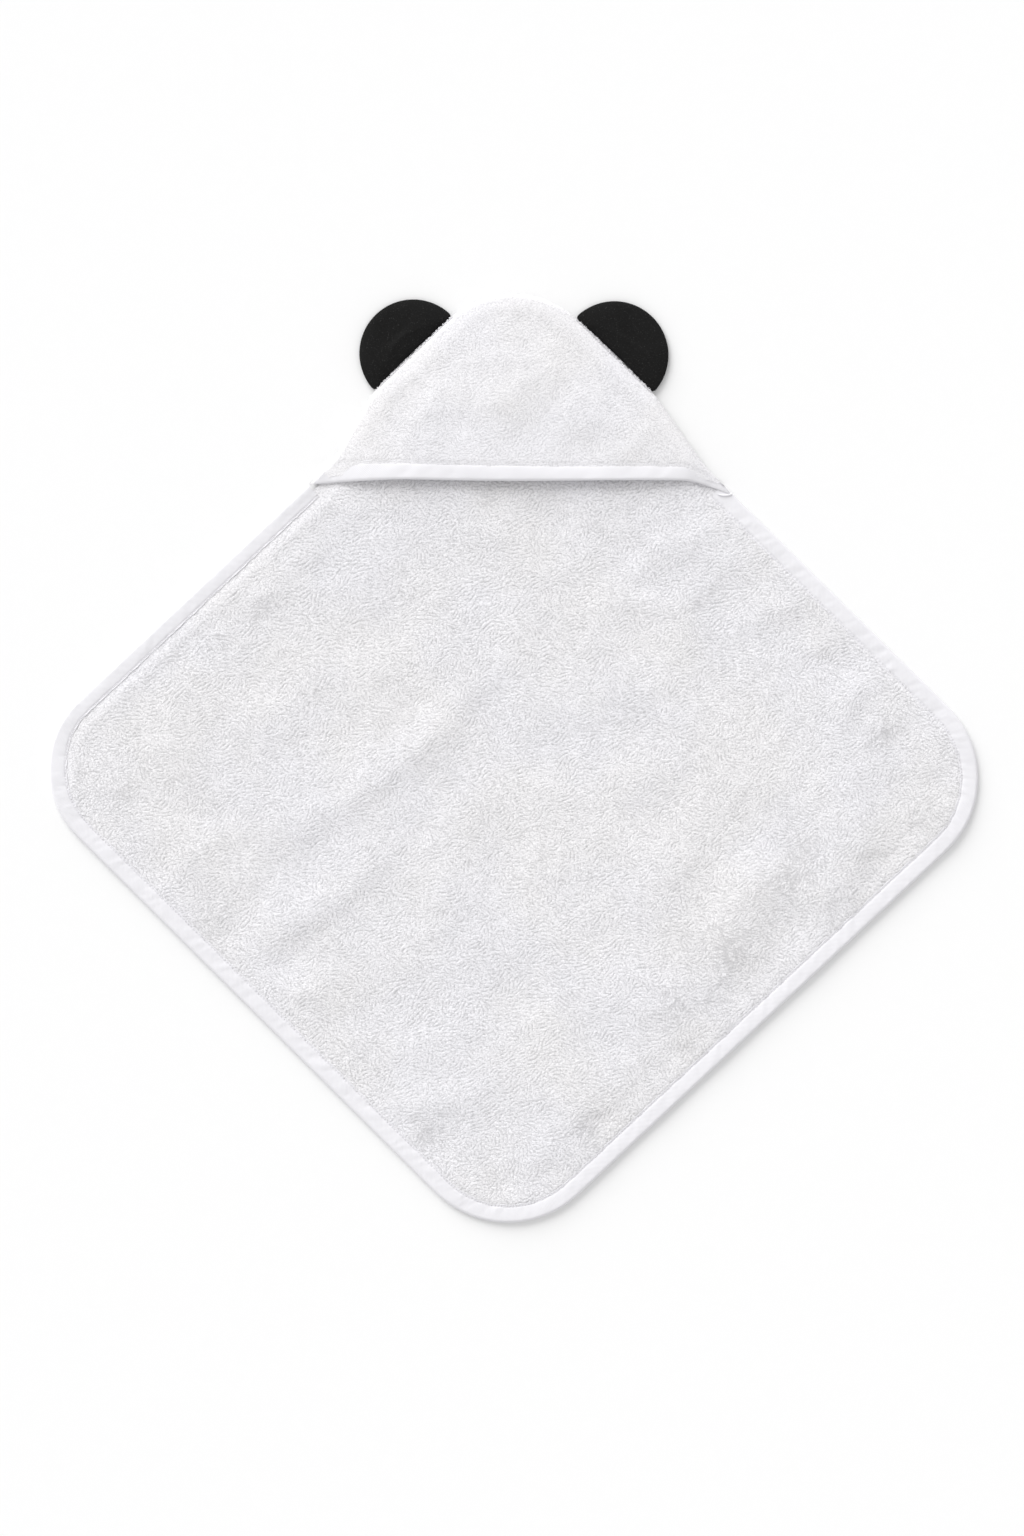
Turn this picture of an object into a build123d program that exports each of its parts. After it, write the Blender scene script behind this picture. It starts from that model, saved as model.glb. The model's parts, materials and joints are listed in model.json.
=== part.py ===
from build123d import *
import math
import os

# Hooded baby towel, lying open on its back with the hood corner to +Y and the terry side up.
# Millimetres. +Z is up, and the origin is on the surface it lies on, under the middle of its box.
#
# The towel is one square of terry cloth. It folds along four lines, so its cloth, its edge binding
# and its stitching are each cut there into a middle field and four flaps. The hood is a second
# layer of terry on the top corner: its outer edge is sewn to the towel, and its lower edge, the
# lip, is bound and open. Two half-round ears are caught in the hood's outer seam.

# The square, 700 mm along each side. Cloth never lies quite square, so each corner is given where
# the two sides beside it would meet, and is then rounded.
LEFT_CORNER = (-500.7, -8.5)
FOOT_CORNER = (-7.7, -498.6)
RIGHT_CORNER = (503.8, -21.3)
LEFT_ROUNDING = 93
FOOT_ROUNDING = 101
RIGHT_ROUNDING = 99

# The hood's outline. Above the lip it flares out past the towel's own sides, then runs straight
# along each ear, and is rounded at the tip.
HOOD_FLARE_LEFT = (-178, 294)
HOOD_BEND_LEFT = (-140, 361)
HOOD_TIP = (-0.4, 495)
HOOD_BEND_RIGHT = (140.5, 359)
HOOD_FLARE_RIGHT = (190, 288)
HOOD_BEND_ROUNDING = 60
HOOD_TIP_ROUNDING = 92

# Cloth thicknesses and levels. The terry is squeezed thinner where the binding holds it.
TERRY = 4.5
SQUEEZED_TERRY_BOTTOM = 0.8
SQUEEZED_TERRY_TOP = 4.7
BINDING_WIDTH = 18
BINDING_THICKNESS = 5.5
BINDING_NOSE = 1.2
BINDING_EDGE_ROUNDING = 2.2
STITCH_FROM_INNER_EDGE = 1.5
STITCH_WIDTH = 1.2
STITCH_HEIGHT = 0.3

# Where the cloth folds. Each flap is a little shorter than half of the towel's half diagonal, so
# that the folded corners don't meet.
LEFT_FOLD_X = -256
RIGHT_FOLD_X = 258
FOOT_FOLD_Y = -268
HOOD_FOLD_Y = 235
FOLD_GAP = 0.6

# The hood, a layer of thinner terry that stands a little above the towel at its lip.
HOOD_TERRY = 3.5
HOOD_SEAM_BOTTOM = 6.5
HOOD_SLOPES = [(16, 4), (34, 3)]
HOOD_LIP_Y = 275
HOOD_RUN_ON = 80
HOOD_HINGE_Y = 409
HOOD_RIM_WIDTH = 30
HOOD_LEAF = 0.8
HOOD_LIP_NOSE = 1.5
SIDE_BINDING_END_Y = 271
SEAM_ALLOWANCE_OUTER = 1
SEAM_ALLOWANCE_INNER = 9
SEAM_THREAD_INSET = 4

# The ears: two covers and a thin layer of wadding, a half disc with its straight side in the seam.
EAR_RADIUS = 54
EAR_FROM_BEND = 57
EAR_GAP = 0.4
EAR_BOTTOM = 1
EAR_COVER = 1.2
EAR_TOP = 8.2
EAR_EDGE_ROUNDING = 3.5
EAR_WADDING_ROUNDING = 2.4
EAR_BASE_ROUNDING = 4
EAR_THREAD_WIDTH = 0.6
EAR_THREAD_HEIGHT = 0.4

BEYOND = 600
UP = (0, 0, 1)


def prism(face, bottom, top):
    """The solid between two levels over a flat outline."""
    return extrude(Pos(0, 0, bottom) * face, amount=top - bottom, dir=UP)


def inset(face, distance):
    """A flat outline pulled in by a distance."""
    return offset(face, amount=-distance)


def span(x_low, x_high, y_low, y_high):
    """A rectangle in plan."""
    middle = Pos((x_low + x_high) / 2, (y_low + y_high) / 2)
    return middle * Rectangle(x_high - x_low, y_high - y_low)


def save(name, shape):
    """Write one node, keeping only its solids."""
    solids = shape.solids()
    whole = solids[0] if len(solids) == 1 else Compound(solids)
    export_step(whole, f"parts/{name}.step")


def towel_outline():
    """The towel's outer edge, with the hood's outline as its top corner."""
    corners = [
        (LEFT_CORNER, LEFT_ROUNDING),
        (FOOT_CORNER, FOOT_ROUNDING),
        (RIGHT_CORNER, RIGHT_ROUNDING),
        (HOOD_FLARE_RIGHT, HOOD_BEND_ROUNDING),
        (HOOD_BEND_RIGHT, HOOD_BEND_ROUNDING),
        (HOOD_TIP, HOOD_TIP_ROUNDING),
        (HOOD_BEND_LEFT, HOOD_BEND_ROUNDING),
        (HOOD_FLARE_LEFT, HOOD_BEND_ROUNDING),
    ]
    points = [point for point, rounding in corners]
    roundings = [rounding for point, rounding in corners]
    return make_face(FilletPolyline(*points, radius=roundings, close=True).edges())


def hood_mound(outline, height):
    """The solid under the hood: its underside raised by a height, steep at the seam, then gentler."""
    area = outline & span(-BEYOND, BEYOND, HOOD_LIP_Y - HOOD_RUN_ON, BEYOND)
    level = HOOD_SEAM_BOTTOM + height
    mound = prism(area, 0, level)
    for run, rise in HOOD_SLOPES:
        slope = math.degrees(math.atan2(run, rise))
        mound += extrude(Pos(0, 0, level) * area, amount=rise, dir=UP, taper=slope)
        area = inset(area, run)
        level += rise
    return mound


def hood_layer(outline, area, bottom, top):
    """A layer of the hood over an area, from and to given heights above its underside."""
    layer = hood_mound(outline, top) - hood_mound(outline, bottom)
    return layer & prism(area, 0, BEYOND)


def make_fields():
    """The five areas of the towel in plan, with a narrow gap along each fold."""
    half_gap = FOLD_GAP / 2
    left, right = LEFT_FOLD_X, RIGHT_FOLD_X
    foot, hood = FOOT_FOLD_Y, HOOD_FOLD_Y
    return {
        "centre": span(left + half_gap, right - half_gap, foot + half_gap, hood - half_gap),
        "left_wrap": span(-BEYOND, left - half_gap, -BEYOND, BEYOND),
        "right_wrap": span(right + half_gap, BEYOND, -BEYOND, BEYOND),
        "foot_fold": span(left, right, -BEYOND, foot - half_gap),
        "hood_back": span(left, right, hood + half_gap, BEYOND),
    }


def make_towel(outline):
    """The towel's terry, edge binding and binding stitch, each over the whole towel."""
    bound_part = span(-BEYOND, BEYOND, -BEYOND, SIDE_BINDING_END_Y)
    covered = (outline - inset(outline, BINDING_WIDTH)) & bound_part
    squeezed_plan = (inset(outline, BINDING_NOSE) - inset(outline, BINDING_WIDTH)) & bound_part
    squeezed = prism(squeezed_plan, SQUEEZED_TERRY_BOTTOM, SQUEEZED_TERRY_TOP)
    terry = prism(outline, 0, TERRY) - prism(covered, 0, TERRY) + squeezed

    slab = prism(outline, 0, BINDING_THICKNESS)
    level_edges = slab.edges().group_by(Axis.Z)
    slab = fillet(level_edges[0] + level_edges[-1], BINDING_EDGE_ROUNDING)
    binding = (slab & prism(covered, 0, BINDING_THICKNESS)) - squeezed

    outer = BINDING_WIDTH - STITCH_FROM_INNER_EDGE - STITCH_WIDTH
    line = (inset(outline, outer) - inset(outline, outer + STITCH_WIDTH)) & bound_part
    stitch = prism(line, BINDING_THICKNESS, BINDING_THICKNESS + STITCH_HEIGHT)
    return terry, binding, stitch


def save_towel(outline):
    """One node of terry, of binding and of stitch for each field."""
    terry, binding, stitch = make_towel(outline)
    for field, area in make_fields().items():
        block = prism(area, -1, BINDING_THICKNESS + 1)
        save(f"{field}_terry", terry & block)
        save(f"{field}_edge_binding", binding & block)
        save(f"{field}_binding_stitch", stitch & block)


def save_hood(outline):
    """The hood: a rim that stays with its seam, and the front that lifts from the lip."""
    whole = outline & span(-BEYOND, BEYOND, HOOD_LIP_Y, BEYOND)
    inner = inset(outline, HOOD_RIM_WIDTH)
    half_gap = FOLD_GAP / 2
    front_area = inner & span(-BEYOND, BEYOND, 0, HOOD_HINGE_Y - half_gap)
    rim_opening = inset(outline, HOOD_RIM_WIDTH - FOLD_GAP)
    rim_area = outline - (rim_opening & span(-BEYOND, BEYOND, 0, HOOD_HINGE_Y + half_gap))

    terry = hood_layer(outline, whole, 0, HOOD_TERRY)
    front_block = prism(front_area, -BEYOND, BEYOND)
    rim_block = prism(rim_area, -BEYOND, BEYOND)
    save("hood_front_terry", terry & front_block)
    save("hood_rim_terry", terry & rim_block)

    lip_low = HOOD_LIP_Y - HOOD_LIP_NOSE
    lip_high = lip_low + BINDING_WIDTH
    lip_area = outline & span(-BEYOND, BEYOND, lip_low, lip_high)
    lip = hood_layer(outline, lip_area, -HOOD_LEAF, HOOD_TERRY + HOOD_LEAF) - terry
    save("hood_lip_binding", lip & front_block)
    save("hood_lip_binding_ends", lip & rim_block)

    thread_high = lip_high - STITCH_FROM_INNER_EDGE
    thread_area = outline & span(-BEYOND, BEYOND, thread_high - STITCH_WIDTH, thread_high)
    top = HOOD_TERRY + HOOD_LEAF
    thread = hood_layer(outline, thread_area, top, top + STITCH_HEIGHT)
    save("hood_lip_stitch", thread & front_block)
    save("hood_lip_stitch_ends", thread & rim_block)

    sewn = span(-BEYOND, BEYOND, lip_high, BEYOND)
    allowance = (inset(outline, SEAM_ALLOWANCE_OUTER) - inset(outline, SEAM_ALLOWANCE_INNER)) & sewn
    save("hood_seam_allowance", prism(allowance, TERRY, HOOD_SEAM_BOTTOM))
    seam_inner = SEAM_THREAD_INSET + STITCH_WIDTH
    seam = (inset(outline, SEAM_THREAD_INSET) - inset(outline, seam_inner)) & sewn
    save("hood_seam_thread", prism(seam, HOOD_SEAM_BOTTOM, HOOD_SEAM_BOTTOM + STITCH_HEIGHT))


def ear_plan(radius):
    """A half disc in plan with its straight side on the X axis, small-cornered, bulging to +Y."""
    disc = Circle(radius) & span(-radius, radius, 0, radius)
    corners = disc.vertices().sort_by(Axis.Y)[:2]
    return fillet(corners, EAR_BASE_ROUNDING)


def make_ear():
    """An ear's four pieces, with the straight side on the X axis."""
    outline = ear_plan(EAR_RADIUS)
    seam_level = EAR_BOTTOM + EAR_COVER
    back = prism(outline, EAR_BOTTOM, seam_level)
    wadding = prism(inset(outline, EAR_COVER), seam_level, EAR_TOP - EAR_COVER)
    wadding = fillet(wadding.edges().group_by(Axis.Z)[-1], EAR_WADDING_ROUNDING)
    front = prism(outline, seam_level, EAR_TOP)
    front = fillet(front.edges().group_by(Axis.Z)[-1], EAR_EDGE_ROUNDING)
    thread_outer = inset(outline, EAR_THREAD_WIDTH / 2)
    thread_inner = inset(outline, EAR_THREAD_WIDTH)
    thread = prism(thread_outer - thread_inner, seam_level, seam_level + EAR_THREAD_HEIGHT)
    return {
        "front_cover": front - wadding - thread,
        "back_cover": back,
        "wadding": wadding,
        "seam_thread": thread,
    }


def save_ear(side, bend, outward):
    """Place an ear along the straight run of the hood from its bend to its tip."""
    run = (Vector(*HOOD_TIP) - Vector(*bend)).normalized()
    away = Vector(-run.Y, run.X) * outward
    middle = Vector(*bend) + run * EAR_FROM_BEND + away * EAR_GAP
    turn = math.degrees(math.atan2(-away.X, away.Y))
    for piece, shape in make_ear().items():
        save(f"{side}_ear_{piece}", Pos(middle.X, middle.Y) * Rot(0, 0, turn) * shape)


towel = towel_outline()
save_towel(towel)
save_hood(towel)
save_ear("left", HOOD_BEND_LEFT, 1)
save_ear("right", HOOD_BEND_RIGHT, -1)
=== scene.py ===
import json
import math

import bpy
import numpy as np
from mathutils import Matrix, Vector


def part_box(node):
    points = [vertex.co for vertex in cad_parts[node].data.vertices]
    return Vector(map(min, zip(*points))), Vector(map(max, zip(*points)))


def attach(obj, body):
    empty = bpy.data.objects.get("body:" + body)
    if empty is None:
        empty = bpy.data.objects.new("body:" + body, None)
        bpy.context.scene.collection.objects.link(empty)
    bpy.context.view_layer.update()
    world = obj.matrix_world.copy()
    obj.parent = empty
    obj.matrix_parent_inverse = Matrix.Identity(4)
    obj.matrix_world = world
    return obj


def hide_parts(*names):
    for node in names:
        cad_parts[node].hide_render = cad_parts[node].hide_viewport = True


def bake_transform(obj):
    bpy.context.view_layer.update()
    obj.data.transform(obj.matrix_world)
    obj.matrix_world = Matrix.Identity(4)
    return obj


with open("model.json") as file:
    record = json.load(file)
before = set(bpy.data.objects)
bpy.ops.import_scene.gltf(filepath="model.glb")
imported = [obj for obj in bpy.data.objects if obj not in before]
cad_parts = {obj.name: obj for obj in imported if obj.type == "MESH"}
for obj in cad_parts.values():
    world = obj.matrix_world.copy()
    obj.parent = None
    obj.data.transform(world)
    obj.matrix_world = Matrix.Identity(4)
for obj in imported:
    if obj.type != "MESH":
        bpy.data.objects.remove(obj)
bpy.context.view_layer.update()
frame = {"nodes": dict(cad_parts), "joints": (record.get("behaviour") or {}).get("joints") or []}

# Lengths are in millimetres in this file, and build_mesh() turns them into metres.
MM = 0.001
JOINTS = {joint["name"]: joint for joint in frame["joints"]}

# The lattice that every cloth piece is cut from, and the side of its coarse blocks in cells.
STEP = 1.25
CELLS = 768
REACH = STEP * CELLS / 2
COARSE = 4

# Cloth: the terry's thickness, and its loops' height and spacing on the towel and on the hood.
TERRY = 4.5
PILE = 0.42
HOOD_PILE = 0.28
LOOP_SPACING = 3.7
HOOD_LOOP_SPACING = 3.4
LOOP_DIRECTIONS = 8

# How far inside the towel's outline the cloth ends: within the binding, and at the hood's seam.
BOUND_INSET = 7
SEWN_INSET = 0.4

# Level of the towel's top at that edge, and of the middle of the bound cloth.
BOUND_TOP = 4.4
SEWN_TOP = 2.9
BOUND_MIDDLE = 2.75

# Binding and thread. A half is half the thickness of the cloth that the binding holds.
BINDING_WIDTH = 18.0
BINDING_LEAF = 0.8
EDGE_HALF = 1.95
LIP_HALF = 1.5
UPPER_LEFT_NARROWING = 0.12
STITCH_INSET = 16.2
STITCH_PITCH = 3.6
STITCH_LENGTH = 2.6
STITCH_WIDTH = 0.6
STITCH_SIDES = 8

# The hood: level of its seam, of its lip's two ends, and of its top just inside the seam.
HOOD_SEAM = 5.4
LIP_END = 6.5
HOOD_LEVEL = 10.0

# The ears: underside, seam and top.
EAR_LOW = 1.0
EAR_SEAM = 3.6
EAR_HIGH = 8.2

# The key light's direction, in degrees anticlockwise from +X and up from the floor, and its width.
KEY_TURN = 122
KEY_HEIGHT = 25
KEY_STRENGTH = 2.9
KEY_WIDTH = 44
ROOM_LIGHT = 0.725

# The camera looks straight down, from this place in metres.
CAMERA = (-0.0015, -0.0094, 4.224)


def smooth(low, high, value):
    """0 below low, 1 above high, and an even slope between them."""
    t = np.clip((np.asarray(value, float) - low) / (high - low), 0, 1)
    return t * t * (3 - 2 * t)


def weights(window):
    """The weights of a smoothing window, which add up to 1."""
    hill = np.hanning(window + 2)[1:-1]
    return hill / hill.sum()


def unit(steps):
    """Flat vectors made 1 long."""
    return steps / np.hypot(*steps.T)[:, None]


def left_of(ahead):
    """The directions a quarter turn anticlockwise from the given ones."""
    return np.stack([-ahead[:, 1], ahead[:, 0]], axis=1)


def evenly(line, count=None):
    """Points spread evenly along a closed line, STEP apart or as many as count says."""
    line = np.vstack([line, line[:1]])
    run = np.concatenate([[0], np.cumsum(np.hypot(*np.diff(line, axis=0).T))])
    places = np.linspace(0, run[-1], count or int(run[-1] / STEP), endpoint=False)
    return np.stack([np.interp(places, run, line[:, k]) for k in (0, 1)], axis=1)


def fold_place(joint, axis):
    """Where a hinge line crosses the towel, moved out to the nearest edge of a coarse block."""
    place = JOINTS[joint]["pos_m"][axis] / MM
    block = STEP * COARSE
    return math.copysign(math.ceil(abs(place) / block - 0.25) * block, place)


LEFT_FOLD = fold_place("left_wrap_fold", 0)
RIGHT_FOLD = fold_place("right_wrap_fold", 0)
FOOT_FOLD = fold_place("foot_fold_up", 1)
HOOD_FOLD = fold_place("hood_fold_down", 1)
HOOD_HINGE = JOINTS["hood_open"]["pos_m"][1] / MM
SIDE_BINDING_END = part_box("hood_back_edge_binding")[1].y / MM
HOOD_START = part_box("hood_lip_binding")[0].y / MM


# ---- meshes


def show(name, data):
    """Puts a mesh, a lamp or a camera in the scene."""
    shown = bpy.data.objects.new(name, data)
    bpy.context.scene.collection.objects.link(shown)
    return shown


def build_mesh(name, points, polygons, material):
    """A mesh object from points (n, 3) in mm and a list of index arrays, one row to a polygon."""
    mesh = bpy.data.meshes.new(name)
    sizes = np.concatenate([np.full(len(p), p.shape[1]) for p in polygons])
    corners = np.concatenate([p.ravel() for p in polygons]).astype(np.int32)
    starts = np.concatenate([[0], np.cumsum(sizes)[:-1]]).astype(np.int32)
    mesh.vertices.add(len(points))
    mesh.vertices.foreach_set("co", (np.asarray(points) * MM).astype(np.float32).ravel())
    mesh.loops.add(len(corners))
    mesh.loops.foreach_set("vertex_index", corners)
    mesh.polygons.add(len(sizes))
    mesh.polygons.foreach_set("loop_start", starts)
    mesh.update(calc_edges=True)
    mesh.validate()
    mesh.polygons.foreach_set("use_smooth", np.ones(len(mesh.polygons), bool))
    mesh.materials.append(material)
    return show(name, mesh)


def set_attribute(obj, name, values):
    """Stores one number, or one vector, at each vertex for the materials to read."""
    values = np.asarray(values, np.float32)
    kind, key = ("FLOAT", "value") if values.ndim == 1 else ("FLOAT_VECTOR", "vector")
    obj.data.attributes.new(name, kind, "POINT").data.foreach_set(key, values.ravel())


def mark_sharp(obj, rim):
    """Edges between two vertices of the rim are sharp, so the cut side doesn't shade the top."""
    ends = np.zeros(len(obj.data.edges) * 2, np.int32)
    obj.data.edges.foreach_get("vertices", ends)
    sharp = rim[ends].reshape(-1, 2).all(axis=1)
    obj.data.attributes.new("sharp_edge", "BOOLEAN", "EDGE").data.foreach_set("value", sharp)


# ---- numbers on the lattice


def spectrum(seed):
    """White noise, and the wave number (cycles per mm) and direction of each of its waves."""
    noise = np.random.default_rng(seed).standard_normal((CELLS, CELLS))
    wave = np.fft.fftfreq(CELLS, STEP)
    across, along = np.meshgrid(wave, wave, indexing="ij")
    return np.fft.fft2(noise), np.hypot(across, along), np.arctan2(along, across)


def normalised(waves):
    """The field that the waves add up to, with a standard deviation of 1."""
    field = np.fft.ifft2(waves).real
    return field / field.std()


def swell(seed, shortest, longest):
    """Even-sided noise with waves between two lengths in mm."""
    noise, wave, _ = spectrum(seed)
    long_enough = 1 - smooth(1.0 / shortest, 1.4 / shortest, wave)
    short_enough = smooth(0.7 / longest, 1.0 / longest, wave)
    return normalised(noise * (short_enough * long_enough))


def sample(field, x, y):
    """The lattice's value at points, by straight interpolation."""
    i = np.clip((np.asarray(x) + REACH) / STEP, 0, CELLS - 1.001)
    j = np.clip((np.asarray(y) + REACH) / STEP, 0, CELLS - 1.001)
    i0, j0 = i.astype(int), j.astype(int)
    a, b = i - i0, j - j0
    low = field[i0, j0] * (1 - a) + field[i0 + 1, j0] * a
    high = field[i0, j0 + 1] * (1 - a) + field[i0 + 1, j0 + 1] * a
    return low * (1 - b) + high * b


def loop_pile(seed, spacing, turning):
    """Terry loops brushed this way and that: waves of one spacing whose direction wanders."""
    noise, wave, heading = spectrum(seed)
    ring = np.exp(-(((wave - 1 / spacing) * spacing / 0.26) ** 2))
    ring += 0.5 * np.exp(-(((wave - 1.7 / spacing) * spacing / 0.5) ** 2))
    lie = math.pi / 2 + 0.75 * swell(seed + 1, turning, 6 * turning)
    pile = np.zeros((CELLS, CELLS))
    for k in range(LOOP_DIRECTIONS):
        towards = math.pi * k / LOOP_DIRECTIONS
        lobe = np.exp(2.5 * (np.cos(2 * (heading - towards)) - 1))
        share = np.exp(4 * (np.cos(2 * (lie - towards)) - 1))
        pile += share * normalised(noise * ring * lobe)
    pile /= pile.std()
    return 0.5 + 0.5 * np.tanh(1.3 * pile + 0.55)


# ---- the towel's outline


# Where the binding's outermost line runs.
NOSE_LEVEL = 2.2


def outline_points():
    """The towel's edge as the CAD has it, anticlockwise from the hood's tip, a point every STEP."""
    found = []
    for name, node in frame["nodes"].items():
        points = np.array([v.co for v in node.data.vertices]) / MM
        if name.endswith("_edge_binding"):
            found.append(points[abs(points[:, 2] - NOSE_LEVEL) < 0.15])
        if name == "hood_back_terry":
            found.append(points[(abs(points[:, 2]) < 0.1) & (points[:, 1] > SIDE_BINDING_END + 0.5)])
    points = np.vstack(found)[:, :2]
    turn = np.mod(np.arctan2(points[:, 1], points[:, 0]) - math.pi / 2, 2 * math.pi)
    return rounded(evenly(points[np.argsort(turn)]), 23)


def rounded(line, window):
    """A closed line with each point moved to the mean of its neighbours."""
    half = window // 2
    looped = np.vstack([line[-half:], line, line[:half]])
    return np.stack([np.convolve(looped[:, k], weights(window), "valid") for k in (0, 1)], axis=1)


EDGE = outline_points()
EDGE_RUN = np.arange(len(EDGE)) * STEP
EDGE_AHEAD = unit(np.roll(EDGE, -2, axis=0) - np.roll(EDGE, 2, axis=0))
EDGE_INWARD = left_of(EDGE_AHEAD)


def nearest_edge(points):
    """For each point, which point of the outline is nearest, and how far away it is."""
    which = np.zeros(len(points), int)
    away = np.zeros(len(points))
    line = EDGE.astype(np.float32)
    batch = 4000
    for start in range(0, len(points), batch):
        part = points[start:start + batch].astype(np.float32)
        gap = (part[:, None, 0] - line[:, 0]) ** 2 + (part[:, None, 1] - line[:, 1]) ** 2
        which[start:start + batch] = gap.argmin(axis=1)
        away[start:start + batch] = np.sqrt(gap.min(axis=1))
    return which, away


def inset_field():
    """How far inside the outline each lattice point is, negative outside it."""
    coarse = np.arange(0, CELLS + 1, COARSE) * STEP - REACH
    x, y = np.meshgrid(coarse, coarse, indexing="ij")
    flat = np.stack([x.ravel(), y.ravel()], axis=1)
    which, away = nearest_edge(flat)
    side = ((flat - EDGE[which]) * EDGE_INWARD[which]).sum(axis=1)
    exact = np.where(side >= 0, away, -away).reshape(x.shape)
    fine = np.arange(CELLS) / COARSE
    known = np.arange(len(coarse))
    rows = np.stack([np.interp(fine, known, row) for row in exact])
    return np.stack([np.interp(fine, known, column) for column in rows.T], axis=1)


LATTICE = np.arange(CELLS) * STEP - REACH
GRID_X, GRID_Y = np.meshgrid(LATTICE, LATTICE, indexing="ij")
INSET = inset_field()


# The hood's lower edge, from its left end to its right: the free edge, and the stitched edge above it.
LIP_FREE = [
    (-197.5, 270.8), (-185, 271.8), (-167, 273.4), (-112, 275.6), (-50, 274.4), (0, 273.8),
    (60, 274.2), (125, 274.8), (172, 274.6), (186, 270.8), (199, 266.6), (212.5, 261.8),
]
LIP_SEWN = [
    (-185.5, 284.2), (-179, 290.4), (-165, 294.0), (-110, 294.0), (-50, 292.0), (0, 291.0),
    (60, 290.6), (125, 291.0), (169, 290.4), (184, 285.8), (198, 276.6), (213.5, 264.0),
]


def eased_line(knots, count):
    """A smooth open line through knots, with the same spread of points for lines of as many knots."""
    knots = np.array(knots, float)
    place = np.linspace(0, len(knots) - 1, count)
    line = np.stack([np.interp(place, np.arange(len(knots)), knots[:, k]) for k in (0, 1)], axis=1)
    window = count // len(knots)
    padded = np.vstack([2 * line[0] - line[window:0:-1], line, 2 * line[-1] - line[-2:-window - 2:-1]])
    kept = np.stack([np.convolve(padded[:, k], weights(window), "same") for k in (0, 1)], axis=1)
    return kept[window:-window]


LIP_POINTS = 360
LIP_LOW = eased_line(LIP_FREE, LIP_POINTS)
LIP_HIGH = eased_line(LIP_SEWN, LIP_POINTS)


def hood_lip(x):
    """Where the lower edge of the hood runs."""
    return np.interp(x, LIP_LOW[:, 0], LIP_LOW[:, 1])


def hood_hem(x):
    """Where the stitched edge of the hood's binding runs."""
    return np.interp(x, LIP_HIGH[:, 0], LIP_HIGH[:, 1])


# ---- how the cloth lies

# Soft creases: two ends, height, and how wide the lit side (up and left) and the far side are.
CREASES = [
    ((-221, -86), (-18, 80), 1.9, 21, 14),
    ((-266, -209), (-127, -91), 1.6, 20, 14),
    ((-320, -175), (-256, -120), 1.1, 16, 14),
    ((-350, -120), (-261, -66), 1.1, 16, 14),
    ((-122, -356), (-23, -324), 1.5, 18, 14),
    ((-221, -234), (-180, -217), 0.9, 15, 13),
    ((86, -219), (125, -298), 1.0, 17, 14),
    ((125, -259), (175, -219), 1.1, 17, 14),
    ((86, -81), (195, -180), 1.1, 18, 15),
    ((323, 38), (363, 93), 1.8, 16, 13),
    ((402, -21), (427, 28), 1.0, 13, 13),
    ((214, 187), (279, 214), 0.9, 16, 14),
    ((214, 132), (313, 165), 1.1, 17, 14),
    ((269, 98), (338, 132), 1.1, 17, 14),
    ((110, 177), (214, 241), 1.2, 16, 13),
    ((145, 142), (234, 201), 1.1, 16, 13),
    ((-211, 236), (-142, 251), 1.0, 17, 14),
    ((-112, 221), (46, 214), 0.9, 20, 16),
    ((86, 157), (145, 152), 0.9, 17, 15),
    ((16, 142), (66, 142), 0.9, 17, 15),
    ((-291, 162), (-226, 165), 0.9, 17, 15),
    ((-395, -1), (-390, -61), 1.0, 17, 14),
    ((-335, -21), (-305, -16), 0.9, 17, 14),
    ((196, -216), (236, -190), 0.9, 50, 8),
    ((300, -150), (346, -116), 1.6, 50, 8),
    ((330, -105), (372, -78), 1.0, 42, 9),
    ((52, -362), (94, -342), 1.7, 46, 8),
    ((150, -285), (186, -262), 1.3, 42, 8),
    ((-104, -374), (-66, -358), 1.5, 37, 8),
    ((-262, 148), (-228, 166), 1.1, 46, 9),
    ((350, 12), (384, 52), 1.2, 37, 8),
    ((-176, -300), (-140, -282), 1.0, 42, 9),
    ((388, -70), (410, -40), 1.0, 37, 9),
    ((150, -270), (380, -40), 1.3, 90, 60),
    ((-20, -330), (120, -330), 1.2, 60, 50),
]
HOOD_CREASES = [
    ((-104, 305), (-88, 352), 1.5, 9, 16),
    ((-40, 330), (0, 372), 1.4, 26, 12),
    ((30, 398), (66, 318), 1.6, 20, 12),
    ((108, 300), (143, 326), 1.4, 12, 9),
    ((-60, 385), (-10, 400), 0.9, 15, 10),
    ((-128, 345), (-30, 440), 0.7, 14, 9),
]
# Patches of painted shade on the pile, which darken its colour and lower its loops a little: middle, radius
# and how much.
SHADE_PATCHES = [
    (213, -189, 27, 0.55), (290, -98, 24, 0.4), (158, -247, 24, 0.45), (172, -289, 14, 0.45),
    (319, -163, 15, 0.4), (201, -235, 18, 0.4), (365, 28, 17, 0.55), (76, -373, 17, 0.5),
    (-84, -378, 15, 0.45), (-299, -160, 24, 0.35), (-249, 145, 13, 0.4), (-20, 48, 15, 0.25),
    (-383, -38, 18, 0.4), (-430, -13, 9, 0.4), (-293, -54, 12, 0.3), (-334, 90, 16, 0.25),
    (190, 150, 34, 0.25), (300, 166, 22, 0.25), (270, -128, 26, 0.3), (-23, 257, 14, 0.35),
    (400, -40, 22, 0.3), (240, -150, 40, 0.2), (60, -300, 46, 0.15), (350, -90, 34, 0.2),
]
LIGHT_FROM = np.array([math.cos(math.radians(KEY_TURN)), math.sin(math.radians(KEY_TURN))])


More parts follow.
